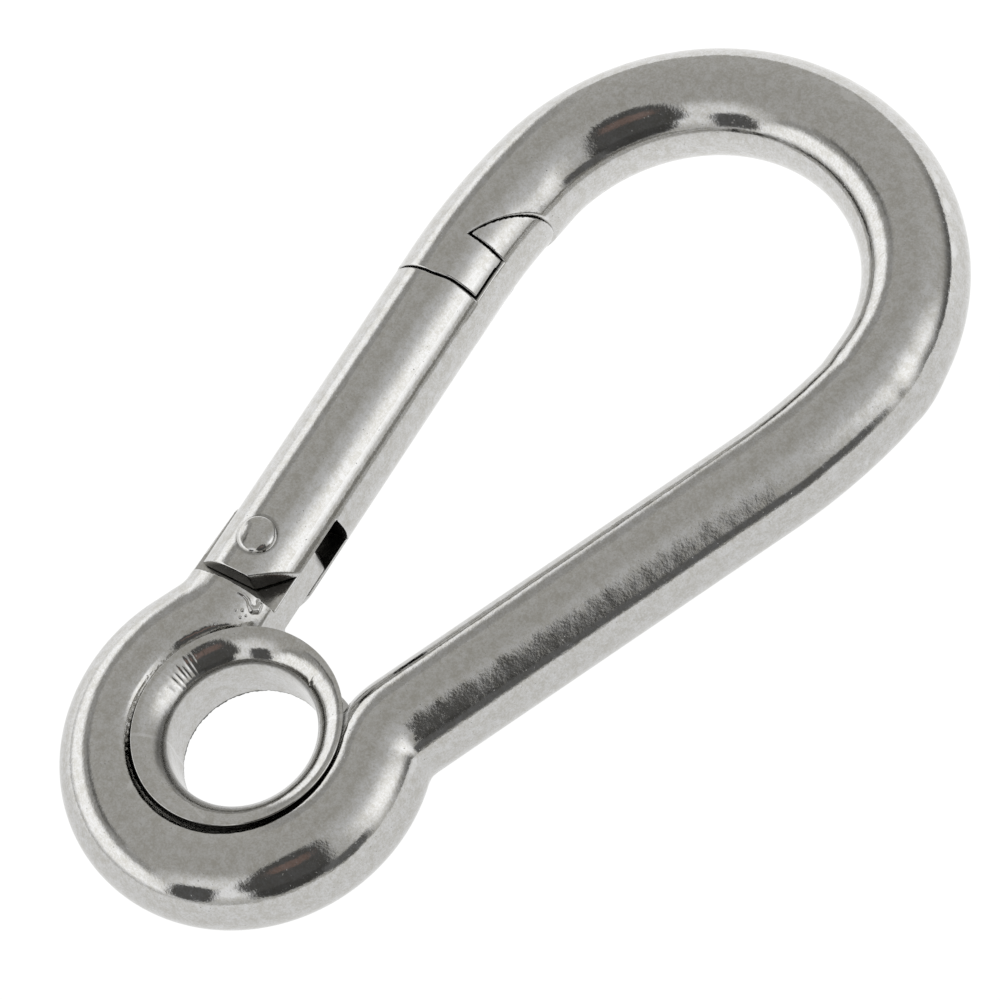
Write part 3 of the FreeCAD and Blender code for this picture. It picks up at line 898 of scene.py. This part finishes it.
def make_spring():
    """Compression spring in the gate's bore."""
    end_gap = WIRE_R + 0.05
    low, high = SPRING_FOOT + end_gap, BORE_BOTTOM - end_gap
    turns = (high - low) / SPRING_PITCH
    sides = 12
    angle = np.linspace(0, 2 * pi * turns, int(turns * 32))[:, None]
    around = (np.arange(sides) * 2 * pi / sides)[None, :]
    radius = COIL_R + WIRE_R * np.cos(around) + 0 * angle
    along = low + SPRING_PITCH * angle / (2 * pi) + WIRE_R * np.sin(around)
    x, y = to_row(radius * np.cos(angle), along)
    points = np.stack([x, y, radius * np.sin(angle)], 2).reshape(-1, 3)
    count = len(angle)
    faces = [
        (i * sides + j, (i + 1) * sides + j, (i + 1) * sides + (j + 1) % sides, i * sides + (j + 1) % sides)
        for i in range(count - 1) for j in range(sides)]
    faces += [tuple(range(sides)), tuple(reversed(range((count - 1) * sides, count * sides)))]
    spring = new_mesh("gate_spring_steel", points, faces)
    fit(spring, "gate", "gate_spring", steel("spring_wire", seed=9.0, pits=0.3))
    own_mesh(spring)


def flared(outer, bore, top, bottom):
    """Outline of a flanged sleeve: bore, flare, rolled lip, underside and tube wall."""
    length, tilt = np.array(FLARE, float).T
    run = np.linspace(0, length[-1], 56)
    tilt = np.radians(np.interp(run, length, tilt))
    step = np.diff(run, prepend=0)
    inward, fall = np.cumsum(np.cos(tilt) * step), np.cumsum(np.sin(tilt) * step)
    edge = outer - SHEET / 2
    scale = (edge - bore) / inward[-1]
    radius, height = edge - inward * scale, top - fall * scale
    upper = list(zip(radius, height))[::-1]
    lower = list(zip(radius + SHEET * np.sin(tilt), height - SHEET * np.cos(tilt)))[::4]
    wall = [(bore, h) for h in np.linspace(bottom + 0.3, upper[0][1] - 0.2, 9)]
    half = SHEET / 2
    lip = [(edge + half * sin(a), top - half * (1 - cos(a))) for a in np.radians(range(15, 166, 15))]
    foot = [(bore + 0.06, bottom)] + [(bore, bottom + rise) for rise in (0.05, 0.12, 0.2, 0.26)]
    return foot + wall + upper + lip + lower + [(bore + SHEET, bottom)]


def dented(radius, height, angle):
    """Hammer marks, a wavy lip and a jagged foot."""
    turn = np.degrees(angle)
    drop = 0.0
    for azimuth, at, half_width, half_length, deep in DENTS:
        gap = np.radians((turn - azimuth + 180) % 360 - 180) * at
        drop = drop + deep * np.exp(-((gap / half_width) ** 2) - ((radius - at) / half_length) ** 2)
    flange = (height > 2.0) * ease(radius, FRONT_BORE_R + 0.1, FRONT_BORE_R + 0.5)
    jag = 0.04 * np.sin(23 * angle + 1.0) + 0.03 * np.sin(57 * angle) + 0.03 * np.sin(101 * angle + 2)
    wobble = 0.02 * np.sin(3 * angle + 0.6) + 0.01 * np.sin(7 * angle)
    height = height - drop * flange + jag * (height < FRONT_FOOT + 0.2)
    return radius + wobble * ease(radius, 8.6, 9.6), height


def front_shade_and_grime(radius, height, angle):
    """Painted shade in the throat of the flare, most on the low side, and a dark line along the sleeve's
    foot.
    """
    throat = 0.5 * ease(height, 2.3, 2.8) * (1 - ease(radius, 7.05, 7.3))
    wide = 0.42 * ease(np.cos(angle - radians(262)), 0.1, 0.9) * (1 - ease(radius, 7.2, 8.2)) * (height > 2.5)
    foot = 0.9 * (height < FRONT_FOOT + 0.15 + 0.07 * np.cos(angle - 3.1))
    return np.maximum(np.maximum(throat, wide), foot)


def make_eyelet():
    """Flanged sleeve from the front, and the flanged ring that closes over it from behind."""
    outline = flared(FRONT_R, FRONT_BORE_R, LIP_TOP, FRONT_FOOT)
    piece = lathe("eyelet_front_steel", outline, (*FRONT_CENTRE, 0), FRONT_AXIS, 720, dented, front_shade_and_grime)
    fit(piece, "eyelet", "eyelet_front", steel("eyelet_front_steel", seed=17.0, wave=1.3))
    outline = flared(FLANGE_R, BACK_BORE_R, FLANGE_TOP, BACK_FOOT)
    piece = lathe("eyelet_back_steel", outline, (0, 0, 0), (0, 0, -1), 360)
    fit(piece, "eyelet", "eyelet_back", steel("eyelet_back_steel", seed=19.0))


def finish_plunger():
    """The plunger keeps its CAD shape and gets the worn steel."""
    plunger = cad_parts["spring_plunger"]
    plunger.data.materials.clear()
    plunger.data.materials.append(steel("plunger_steel", seed=13.0))


make_camera()
bpy.context.scene.view_settings.view_transform = "Standard"
make_world()
make_floor()
make_body()
make_gate()
make_rivet()
make_eyelet()
make_spring()
finish_plunger()
